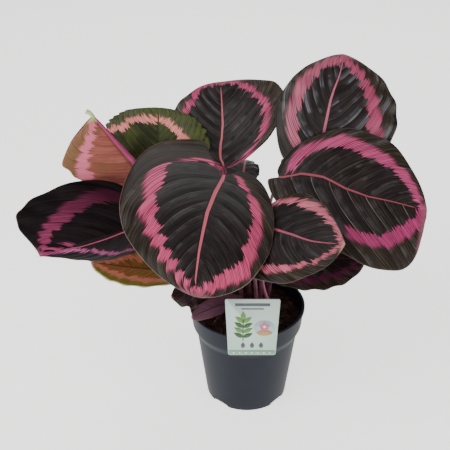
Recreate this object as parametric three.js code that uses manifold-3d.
// Potted calathea with ring-marked leaves: pot, soil, care label, and a stalk and a blade for each leaf.
// Millimetres, +Z up. The origin is the middle of the pot's foot, +X is the viewer's right, +Y is away.
import * as THREE from "three";
import { mergeVertices } from "three/addons/utils/BufferGeometryUtils.js";
import Module from "manifold-3d";

const wasm = await Module();
wasm.setup();

// Clearance between pieces that touch on the real plant
const GAP = 0.3;

// Pot: a 12 cm nursery pot, a thin moulded cone with a collar band
const POT = {
  height: 110,
  lipRadius: 60,
  lipHeight: 3,
  collarTopRadius: 59.2,
  collarBottomRadius: 57.4,
  collarBottom: 91,
  bodyTop: 77,
  bodyTopRadius: 52.4,
  footRadius: 42.5,
  wall: 1.6,
  skirt: 8,
  padRadius: 12,
  edge: 0.6,
  sides: 48,
};
const DRAIN = { count: 4, halfWidth: 10, height: 4, depth: 12, sides: 28, firstTurn: 49 };

// Soil: potting mix that fills the pot to a little below the rim
const SOIL = {
  level: 97,
  mound: 2,
  bump: 0.7,
  waveLength: 17,
  flatRim: 0.1, // the share of the radius over which the bumps fade out
  rings: [0.84, 0.66, 0.46, 0.24],
  sides: 48,
};

// Care label: a card in front of the rim, on a tongue that folds over the rim and down into the soil
const LABEL = {
  bottom: 91,
  top: 159,
  halfWidthTop: 26.8,
  halfWidthBottom: 23.8,
  middle: 3.6,
  front: -62.6,
  thickness: 0.8,
  corner: 2.5,
  tongueHalfWidth: 7,
  tongueTop: 111.2,
  tongueBack: -45,
  tongueTip: 66,
};

// Stalks: round, tapered, sunk straight into the soil before they lean
const STALK = {
  footRadius: 2.4,
  topRadius: 1.7,
  depth: 14,
  trims: [-1, 6], // how far short of the blade's base it may end: the least and the most
  rounds: 8,
  reach: 30, // how far before the blade it turns towards it
  rise: 0.42, // how much of its height it climbs before it leans
  lean: 0.58, // how much of the rib's own direction it has where it meets the blade
  sides: 6,
  steps: 9,
};

// Blades: thin solids with a raised rib along the middle of the underside
const BLADE = {
  thickness: 0.9,
  keel: 1.3,
  keelWidth: 0.1,
  keelStart: 0.06,
  keelTaper: 0.7,
  lobeStart: 0.001,
  lobeEnd: 0.25,
  lean: 1.5,
  wavePhase: 2.1,
  droopScale: 6.75, // brings the highest value of share² (1 - share) to 1
  rows: 16,
  rowPower: 1.35, // brings the rows closer together near the base
  columns: [-1, -0.72, -0.4, -0.1, 0, 0.1, 0.4, 0.72, 1],
};

// Each half of a blade has its own value: the half on the right, then the half on the left, as seen from
// the base with the upper side up. Lengths are millimetres, angles degrees, the rest shares of the length.
const PLAIN_LEAF = {
  bow: 6, // how far the middle of the rib stands above the straight line from base to tip
  droop: 0, // the same near the tip, so that the tip turns down
  sweep: 0, // how far the rib bends to the right
  belly: [0.45, 0.45], // where a half is widest
  bluntBase: [0.5, 0.5], // smaller is rounder
  bluntTip: [0.6, 0.6],
  fold: [5, 5], // how steeply a half rises from the rib
  curl: [-15, -15], // how far it turns on its way to the edge
  lobe: [0.06, 0.06], // how far it reaches back past the base
  shoulder: [0.06, 0.06], // how far its side veins draw the edge forward
  waves: 5,
  waveHeight: 2,
};

const ANTHRACITE = 0x43464e;
const EARTH = 0x33241d;
const MINT = 0xcfe0d2;
const WINE = 0x6b2b3a;
const DARK = 0x3a2c30;
const GREEN = 0x4c5a2e;
const ROSE = 0xb06a62;
const PLUM = 0x64495a;

// foot is the stalk's place in the soil, and faces is the compass turn and the rise of the upper side.
// A leaf with arrive has a stalk that meets the blade in that direction.
const LEAVES = [
  {
    name: "front",
    foot: [-6, -2],
    base: [-24, 10, 257],
    tip: [-50, -125, 206],
    faces: [-97, 50],
    halfWidth: [94, 56],
    bow: 10,
    sweep: -4,
    belly: [0.27, 0.44],
    bluntBase: [0.34, 0.3],
    fold: [8, -3],
    curl: [-10, -19],
    lobe: [0.4, 0.08],
    waves: 3,
    bluntTip: [0.68, 0.6],
    colour: DARK,
  },
  {
    name: "right",
    foot: [14, 6],
    base: [29, 14.5, 251.5],
    tip: [173, -14, 229],
    faces: [-80, 50],
    halfWidth: [72, 67],
    bow: 8,
    belly: [0.65, 0.42],
    bluntBase: [0.6, 0.5],
    bluntTip: [0.22, 0.85],
    curl: [-10, -12],
    lobe: [0.07, 0.02],
    shoulder: [0.12, 0.06],
    waves: 3,
    arrive: [0.3, -0.5, 0.8],
    colour: DARK,
  },
  {
    name: "top_right",
    foot: [22, 14],
    base: [70, 42, 258],
    tip: [98, 107, 343],
    faces: [-80, 25],
    halfWidth: [70, 55],
    belly: [0.4, 0.36],
    bluntTip: [0.55, 0.72],
    fold: [6, 6],
    curl: [-10, -45],
    lobe: [0.08, 0.2],
    shoulder: [0.04, 0.04],
    colour: DARK,
  },
  {
    name: "top_centre",
    foot: [3, 15],
    base: [-24, 77, 227],
    tip: [-28, 123, 306],
    faces: [-88, 40],
    halfWidth: [66, 54],
    bow: 8,
    droop: 5,
    belly: [0.64, 0.5],
    bluntBase: [0.72, 1],
    bluntTip: [0.4, 0.5],
    fold: [6, 6],
    curl: [5, -20],
    lobe: [0, 0.03],
    shoulder: [0.12, 0],
    arrive: [0, 0.6, 0.8],
    colour: DARK,
  },
  {
    name: "green",
    foot: [-14, 12],
    base: [-92, 67, 218],
    tip: [-92, 98, 288],
    faces: [-95, 45],
    halfWidth: [54, 60],
    bow: 5,
    belly: [0.46, 0.5],
    bluntTip: [0.55, 0.3],
    curl: [-14, -15],
    waveHeight: 2.5,
    colour: GREEN,
  },
  {
    name: "rolled",
    foot: [-22, 10],
    base: [-97, 48, 229],
    tip: [-147, 2, 324],
    faces: [180, -45],
    halfWidth: [56, 48],
    bow: 0,
    belly: [0.6, 0.57],
    bluntTip: [1.2, 1.1],
    fold: [78, 82],
    curl: [15, 5],
    lobe: [0, 0],
    shoulder: [0.1, 0.1],
    waveHeight: 1,
    bluntBase: [0.32, 0.4],
    colour: ROSE,
  },
  {
    name: "left",
    foot: [-25, -12],
    base: [-96, -14, 215],
    tip: [-201, -46, 197],
    faces: [-100, 42],
    halfWidth: [64, 64],
    bow: 8,
    belly: [0.22, 0.22],
    bluntTip: [0.66, 1.4],
    fold: [0, -55],
    curl: [-15, -50],
    lobe: [0, 0.06],
    shoulder: [0.5, 0.1],
    bluntBase: [0.3, 0.15],
    colour: DARK,
  },
  {
    name: "under_left",
    foot: [-30, 1],
    base: [-62, 24, 133],
    tip: [-162, 13, 153],
    faces: [95, 10],
    halfWidth: [38, 30],
    bow: -3,
    curl: [20, 20],
    waveHeight: 1,
    colour: ROSE,
  },
  {
    name: "small_front",
    foot: [10, -14],
    base: [6, -29, 222],
    tip: [85, -92, 241],
    faces: [-75, 52],
    halfWidth: [54, 48],
    bow: 5,
    fold: [3, 3],
    curl: [-8, -8],
    lobe: [0.07, 0.07],
    waves: 3,
    waveHeight: 1.5,
    bluntBase: [0.45, 0.35],
    belly: [0.38, 0.26],
    bluntTip: [0.68, 1],
    sweep: 5,
    colour: DARK,
  },
  {
    name: "low_right",
    foot: [24, -14],
    base: [18, -16, 171],
    tip: [114, -34, 187],
    faces: [-80, 60],
    halfWidth: [34, 30],
    bow: 4,
    fold: [3, 3],
    curl: [-10, -20],
    colour: DARK,
  },
  {
    name: "low_purple",
    foot: [6, -30],
    base: [-5, -34, 139],
    tip: [-56, -64, 138],
    faces: [90, -10],
    halfWidth: [11, 11],
    bow: 3,
    fold: [3, 3],
    curl: [20, 20],
    waveHeight: 0.5,
    lobe: [0, 0],
    colour: PLUM,
  },
  {
    name: "low_curly",
    foot: [-4, -24],
    base: [-33, -19, 140],
    tip: [-76, -47, 150],
    faces: [-100, 60],
    halfWidth: [18, 18],
    fold: [-10, -10],
    curl: [-40, -40],
    waves: 4,
    waveHeight: 3,
    lobe: [0, 0],
    colour: DARK,
  },
  {
    name: "back_left",
    foot: [-18, 24],
    base: [-52, 92, 222],
    tip: [-104, 172, 192],
    faces: [120, 55],
    halfWidth: [50, 52],
    bow: 10,
    curl: [-18, -18],
    colour: DARK,
  },
  {
    name: "back_centre",
    foot: [2, 30],
    base: [-5, 72, 206],
    tip: [2, 169, 190],
    faces: [90, 58],
    halfWidth: [18, 34],
    bow: 10,
    curl: [-20, -16],
    fold: [-12, 5],
    bluntTip: [1, 0.6],
    colour: DARK,
  },
  {
    name: "back_right",
    foot: [20, 27],
    base: [55, 72, 225],
    tip: [120, 150, 200],
    faces: [60, 55],
    halfWidth: [50, 48],
    bow: 9,
    curl: [-16, -20],
    colour: DARK,
  },
].map((leaf) => ({ ...PLAIN_LEAF, ...leaf }));

// Small helpers

const radians = THREE.MathUtils.degToRad;
const point = (place) => new THREE.Vector3(...place);

// An indexed geometry whose faces are given by the places of their corners
function closedGeometry(places, faces) {
  const geometry = new THREE.BufferGeometry();
  geometry.setAttribute("position", new THREE.Float32BufferAttribute(places.flatMap((p) => p.toArray()), 3));
  geometry.setIndex(faces.filter(([a, b, c]) => a !== b && b !== c && c !== a).flat());
  return geometry;
}

// A geometry as a solid for joining and cutting, turned right side out where its profile ran the other way
function solid(geometry) {
  const bare = geometry.clone();
  bare.deleteAttribute("normal");
  bare.deleteAttribute("uv");
  const merged = mergeVertices(bare, 1e-3);
  const corners = Uint32Array.from(merged.index.array);
  const positions = Float32Array.from(merged.attributes.position.array);
  const made = new wasm.Manifold(new wasm.Mesh({ numProp: 3, vertProperties: positions, triVerts: corners }));
  if (made.volume() > 0) return made;
  corners.reverse();
  return new wasm.Manifold(new wasm.Mesh({ numProp: 3, vertProperties: positions, triVerts: corners }));
}

function geometryOf(body) {
  const mesh = body.getMesh();
  const geometry = new THREE.BufferGeometry();
  geometry.setAttribute("position", new THREE.BufferAttribute(mesh.vertProperties, mesh.numProp));
  geometry.setIndex(new THREE.BufferAttribute(mesh.triVerts, 1));
  geometry.computeVertexNormals();
  return geometry;
}

// A profile of [radius, height] pairs, turned about the Z axis
function turned(profile, sides) {
  const outline = profile.map(([radius, height]) => new THREE.Vector2(radius, height));
  return new THREE.LatheGeometry(outline, sides).rotateX(Math.PI / 2);
}

function box(low, high) {
  const size = high.map((value, axis) => value - low[axis]);
  const middle = high.map((value, axis) => (value + low[axis]) / 2);
  return new THREE.BoxGeometry(...size).translate(...middle);
}

// Pot

function potRadius(height) {
  if (height <= POT.bodyTop) {
    return THREE.MathUtils.lerp(POT.footRadius, POT.bodyTopRadius, height / POT.bodyTop);
  }
  if (height <= POT.collarBottom) {
    const share = THREE.MathUtils.smoothstep(height, POT.bodyTop, POT.collarBottom);
    return THREE.MathUtils.lerp(POT.bodyTopRadius, POT.collarBottomRadius, share);
  }
  const share = (height - POT.collarBottom) / (POT.height - POT.collarBottom);
  return THREE.MathUtils.lerp(POT.collarBottomRadius, POT.collarTopRadius, share);
}

const stepShares = [0, 1 / 3, 2 / 3, 1];
const stepHeights = stepShares.map((share) => THREE.MathUtils.lerp(POT.bodyTop, POT.collarBottom, share));

function potSolid() {
  const lipBottom = POT.height - POT.lipHeight;
  const { edge } = POT;
  const outside = [
    [potRadius(0) - edge, 0],
    [potRadius(edge), edge],
    ...stepHeights.map((height) => [potRadius(height), height]),
    [potRadius(lipBottom - edge), lipBottom - edge],
    [POT.lipRadius, lipBottom],
    [POT.lipRadius, POT.height - edge],
    [POT.lipRadius - edge, POT.height],
  ];
  const floorTop = POT.skirt + POT.wall;
  const inside = [
    [potRadius(POT.height) - POT.wall, POT.height],
    ...stepHeights.toReversed().map((height) => [potRadius(height) - POT.wall, height]),
    [potRadius(floorTop) - POT.wall, floorTop],
    [0, floorTop],
  ];
  const underside = [
    [0, 0],
    [POT.padRadius, 0],
    [POT.padRadius + edge, POT.skirt],
    [potRadius(POT.skirt) - POT.wall, POT.skirt],
    [potRadius(0) - POT.wall, 0],
  ];
  let pot = solid(turned([...underside, ...outside, ...inside], POT.sides));
  for (let i = 0; i < DRAIN.count; i += 1) {
    const arch = new THREE.CylinderGeometry(DRAIN.halfWidth, DRAIN.halfWidth, DRAIN.depth, DRAIN.sides);
    arch.scale(1, 1, DRAIN.height / DRAIN.halfWidth);
    arch.translate(0, POT.footRadius, 0);
    arch.rotateZ(radians(DRAIN.firstTurn + (i * 360) / DRAIN.count));
    pot = pot.subtract(solid(arch));
  }
  return pot;
}

// Soil

function soilHeight(x, y) {
  const share = Math.hypot(x, y) / POT.bodyTopRadius;
  const turn = (2 * Math.PI) / SOIL.waveLength;
  const bumps = Math.sin(turn * x + 1) * Math.cos(turn * y * 0.8) + Math.sin(turn * (y - x) * 0.6 + 2);
  return SOIL.level + SOIL.mound * (1 - share * share) + SOIL.bump * bumps;
}

function soilSolid() {
  const inner = (height) => potRadius(height) - POT.wall - GAP;
  const bottom = POT.skirt + POT.wall + GAP;
  const edgeRadius = inner(SOIL.level);
  const profile = [
    [0, bottom],
    [inner(bottom), bottom],
    ...stepHeights.map((height) => [inner(height), height]),
    [edgeRadius, SOIL.level],
    ...SOIL.rings.map((share) => [share * edgeRadius, SOIL.level]),
    [0, SOIL.level],
  ];
  const geometry = turned(profile, SOIL.sides);
  const places = geometry.attributes.position;
  for (let i = 0; i < places.count; i += 1) {
    if (places.getZ(i) > SOIL.level - GAP) {
      const inward = 1 - Math.hypot(places.getX(i), places.getY(i)) / edgeRadius;
      const lift = soilHeight(places.getX(i), places.getY(i)) - SOIL.level;
      places.setZ(i, SOIL.level + lift * Math.min(1, inward / SOIL.flatRim));
    }
  }
  let soil = solid(geometry);
  for (const leaf of LEAVES) {
    soil = soil.subtract(solid(stalkHole(leaf)));
  }
  const slot = box(
    [LABEL.middle - LABEL.tongueHalfWidth - GAP, LABEL.tongueBack - GAP, LABEL.tongueTip - GAP],
    [LABEL.middle + LABEL.tongueHalfWidth + GAP, LABEL.tongueBack + LABEL.thickness + GAP, LABEL.tongueTop],
  );
  return soil.subtract(solid(slot));
}

function stalkHole(leaf) {
  const top = SOIL.level + 3 * SOIL.mound;
  const bottom = SOIL.level - STALK.depth - GAP;
  const radius = (STALK.footRadius + GAP) / Math.cos(Math.PI / STALK.sides);
  const hole = new THREE.CylinderGeometry(radius, radius, top - bottom, 2 * STALK.sides);
  return hole.rotateX(Math.PI / 2).translate(leaf.foot[0], leaf.foot[1], (top + bottom) / 2);
}

// Care label

function labelSolid() {
  const { corner, middle, top, bottom } = LABEL;
  const topLeft = middle - LABEL.halfWidthTop;
  const topRight = middle + LABEL.halfWidthTop;
  const footLeft = middle - LABEL.halfWidthBottom;
  const footRight = middle + LABEL.halfWidthBottom;
  const card = new THREE.Shape();
  card.moveTo(footLeft + corner, bottom);
  card.lineTo(footRight - corner, bottom);
  card.quadraticCurveTo(footRight, bottom, footRight, bottom + corner);
  card.lineTo(topRight, top - corner);
  card.quadraticCurveTo(topRight, top, topRight - corner, top);
  card.lineTo(topLeft + corner, top);
  card.quadraticCurveTo(topLeft, top, topLeft, top - corner);
  card.lineTo(footLeft, bottom + corner);
  card.quadraticCurveTo(footLeft, bottom, footLeft + corner, bottom);
  const options = { depth: LABEL.thickness, bevelEnabled: false, curveSegments: 4 };
  const face = new THREE.ExtrudeGeometry(card, options);
  face.rotateX(Math.PI / 2).translate(0, LABEL.front + LABEL.thickness, 0);
  const left = middle - LABEL.tongueHalfWidth;
  const right = middle + LABEL.tongueHalfWidth;
  const back = LABEL.tongueBack + LABEL.thickness;
  const bridge = box([left, LABEL.front, LABEL.tongueTop - LABEL.thickness], [right, back, LABEL.tongueTop]);
  const tongue = box([left, LABEL.tongueBack, LABEL.tongueTip], [right, back, LABEL.tongueTop]);
  return solid(face).add(solid(bridge)).add(solid(tongue));
}

// Leaves

function leafAxes(leaf) {
  const base = point(leaf.base);
  const forward = point(leaf.tip).sub(base);
  const length = forward.length();
  forward.normalize();
  const [turn, rise] = leaf.faces.map(radians);
  const level = Math.cos(rise);
  const up = new THREE.Vector3(level * Math.cos(turn), level * Math.sin(turn), Math.sin(rise));
  up.addScaledVector(forward, -up.dot(forward)).normalize();
  return { base, length, forward, up, side: new THREE.Vector3().crossVectors(forward, up) };
}

// The rib's place and its axes at a share of the length; past either end it runs on straight
function ribAt(leaf, axes, share) {
  const held = THREE.MathUtils.clamp(share, 0, 1);
  const past = share - held;
  const archSlope = 4 - 8 * held;
  const arch = 4 * held * (1 - held) + past * archSlope;
  const droopSlope = BLADE.droopScale * (2 * held - 3 * held * held);
  const droop = BLADE.droopScale * held * held * (1 - held) + past * droopSlope;
  const place = axes.base
    .clone()
    .addScaledVector(axes.forward, share * axes.length)
    .addScaledVector(axes.up, leaf.bow * arch + leaf.droop * droop)
    .addScaledVector(axes.side, leaf.sweep * arch);
  const forward = axes.forward
    .clone()
    .multiplyScalar(axes.length)
    .addScaledVector(axes.up, leaf.bow * archSlope + leaf.droop * droopSlope)
    .addScaledVector(axes.side, leaf.sweep * archSlope)
    .normalize();
  const up = axes.up.clone().addScaledVector(forward, -axes.up.dot(forward)).normalize();
  return { place, forward, up, side: new THREE.Vector3().crossVectors(forward, up) };
}

// The upper side of a blade: along runs from base to tip, across from the left edge to the right edge
function bladePlace(leaf, axes, along, across) {
  const half = across >= 0 ? 0 : 1;
  const out = Math.abs(across);
  const belly = leaf.belly[half];
  const beforeBelly = along < belly;
  const distance = (along - belly) / (beforeBelly ? belly : 1 - belly);
  const blunt = beforeBelly ? leaf.bluntBase[half] : leaf.bluntTip[half];
  const width = leaf.halfWidth[half] * Math.max(0, 1 - distance * distance) ** blunt;
  const lobe = (1 - Math.exp(-along / BLADE.lobeStart)) * Math.exp(-((along / BLADE.lobeEnd) ** 2));
  const shoulder = 4 * along * (1 - along);
  const lead = leaf.shoulder[half] * shoulder - leaf.lobe[half] * lobe;
  const share = along + out ** BLADE.lean * lead;
  const rib = ribAt(leaf, axes, share);
  const fold = radians(leaf.fold[half]);
  const curl = radians(leaf.curl[half]);
  const slope = fold + curl * out;
  const outward = (width * (Math.sin(slope) - Math.sin(fold))) / curl;
  const upward = (width * (Math.cos(fold) - Math.cos(slope))) / curl;
  const phase = half * BLADE.wavePhase;
  const fade = Math.sqrt(4 * along * (1 - along));
  const wave = leaf.waveHeight * out ** 3 * Math.sin(2 * Math.PI * leaf.waves * along + phase) * fade;
  return rib.place
    .addScaledVector(rib.side, Math.sign(across) * outward)
    .addScaledVector(rib.up, upward + wave);
}

function bladeUp(leaf, axes, along, across) {
  const step = 0.01;
  const inside = THREE.MathUtils.clamp(along, 2 * step, 1 - 2 * step);
  const lengthwise = bladePlace(leaf, axes, inside + step, across).sub(
    bladePlace(leaf, axes, inside - step, across),
  );
  const low = Math.max(-1, across - step);
  const high = Math.min(1, across + step);
  const crosswise = bladePlace(leaf, axes, inside, high).sub(bladePlace(leaf, axes, inside, low));
  return crosswise.cross(lengthwise).normalize();
}

function bladeGeometry(leaf) {
  const axes = leafAxes(leaf);
  const { columns, rows } = BLADE;
  const last = columns.length - 1;
  const places = [];
  const index = [[], []];
  for (let row = 0; row <= rows; row += 1) {
    const along = ((1 - Math.cos((Math.PI * row) / rows)) / 2) ** BLADE.rowPower;
    const isEnd = row === 0 || row === rows;
    for (let face = 0; face < 2; face += 1) {
      index[face][row] = columns.map((across, column) => {
        if (isEnd && column > 0) return places.length - 1;
        const spot = isEnd ? 0 : across;
        const place = bladePlace(leaf, axes, along, spot);
        if (face === 1) {
          const nearRib = Math.max(0, 1 - Math.abs(spot) / BLADE.keelWidth);
          const fade = Math.min(1, along / BLADE.keelStart) * (1 - BLADE.keelTaper * along);
          const keel = isEnd ? 0 : BLADE.keel * nearRib * fade;
          place.addScaledVector(bladeUp(leaf, axes, along, spot), -(BLADE.thickness + keel));
        }
        places.push(place);
        return places.length - 1;
      });
    }
  }
  const faces = [];
  for (let row = 0; row < rows; row += 1) {
    for (let face = 0; face < 2; face += 1) {
      const near = index[face][row];
      const far = index[face][row + 1];
      for (let column = 0; column < last; column += 1) {
        const pairOfFaces = [
          [near[column], near[column + 1], far[column + 1]],
          [near[column], far[column + 1], far[column]],
        ];
        faces.push(...pairOfFaces.map((corners) => (face === 0 ? corners : corners.toReversed())));
      }
    }
    const [top, under] = index;
    for (const column of [0, last]) {
      const wall = [
        [top[row][column], top[row + 1][column], under[row + 1][column]],
        [top[row][column], under[row + 1][column], under[row][column]],
      ];
      faces.push(...wall.map((corners) => (column === 0 ? corners : corners.toReversed())));
    }
  }
  return closedGeometry(places, faces);
}

// A stalk: straight up out of its hole, then over in one curve to just behind the blade's base
function stalkPath(leaf, trim) {
  const axes = leafAxes(leaf);
  const rib = ribAt(leaf, axes, 0);
  const arrive = leaf.arrive ? point(leaf.arrive).normalize() : arrival(rib);
  const end = rib.place
    .clone()
    .addScaledVector(rib.forward, -trim)
    .addScaledVector(rib.up, -BLADE.thickness / 2);
  const start = new THREE.Vector3(...leaf.foot, SOIL.level - STALK.depth);
  const surface = new THREE.Vector3(...leaf.foot, SOIL.level + SOIL.mound);
  const rise = STALK.rise * (end.z - surface.z);
  const path = new THREE.CurvePath();
  path.add(new THREE.LineCurve3(start, surface));
  const lift = surface.clone().add(new THREE.Vector3(0, 0, rise));
  const approach = end.clone().addScaledVector(arrive, -STALK.reach);
  path.add(new THREE.CubicBezierCurve3(surface, lift, approach, end));
  return path;
}

function arrival(rib) {
  return rib.forward.clone().multiplyScalar(STALK.lean).add(new THREE.Vector3(0, 0, 1)).normalize();
}

function stalkGeometry(leaf, trim) {
  const path = stalkPath(leaf, trim);
  const { sides, steps } = STALK;
  const frames = path.computeFrenetFrames(steps);
  const places = [];
  for (let step = 0; step <= steps; step += 1) {
    const share = step / steps;
    const middle = path.getPointAt(share);
    const radius = THREE.MathUtils.lerp(STALK.footRadius, STALK.topRadius, share);
    for (let side = 0; side < sides; side += 1) {
      const turn = (2 * Math.PI * side) / sides;
      const rim = frames.normals[step].clone().multiplyScalar(radius * Math.cos(turn));
      rim.addScaledVector(frames.binormals[step], radius * Math.sin(turn));
      places.push(middle.clone().add(rim));
    }
  }
  const faces = [];
  for (let side = 0; side < sides; side += 1) {
    const next = (side + 1) % sides;
    for (let step = 0; step < steps; step += 1) {
      const near = step * sides;
      const far = near + sides;
      faces.push([near + side, near + next, far + next], [near + side, far + next, far + side]);
    }
    if (side > 0 && side < sides - 1) {
      const top = steps * sides;
      faces.push([0, side + 1, side], [top, top + side, top + side + 1]);
    }
  }
  return closedGeometry(places, faces);
}

// The longest stalk that keeps its clearance from the blade
function stalkSolid(leaf, blade) {
  let [touching, clear] = STALK.trims;
  for (let round = 0; round < STALK.rounds; round += 1) {
    const trim = (touching + clear) / 2;
    if (solid(stalkGeometry(leaf, trim)).minGap(blade, 2 * GAP) > GAP) {
      clear = trim;
    } else {
      touching = trim;
    }
  }
  return solid(stalkGeometry(leaf, clear));
}

// The assembly

const plant = new THREE.Group();
plant.name = "potted_calathea";

function addPiece(name, geometry, colour, roughness) {
  const material = new THREE.MeshStandardMaterial({ color: colour, roughness, metalness: 0 });
  const mesh = new THREE.Mesh(geometry, material);
  mesh.name = name;
  plant.add(mesh);
}

addPiece("pot", geometryOf(potSolid()), ANTHRACITE, 0.6);
addPiece("soil", geometryOf(soilSolid()), EARTH, 0.95);
addPiece("label", geometryOf(labelSolid()), MINT, 0.45);
for (const leaf of LEAVES) {
  const blade = solid(bladeGeometry(leaf));
  addPiece(`stalk_${leaf.name}`, geometryOf(stalkSolid(leaf, blade)), WINE, 0.55);
  addPiece(`leaf_${leaf.name}`, geometryOf(blade), leaf.colour, 0.5);
}

export default plant;
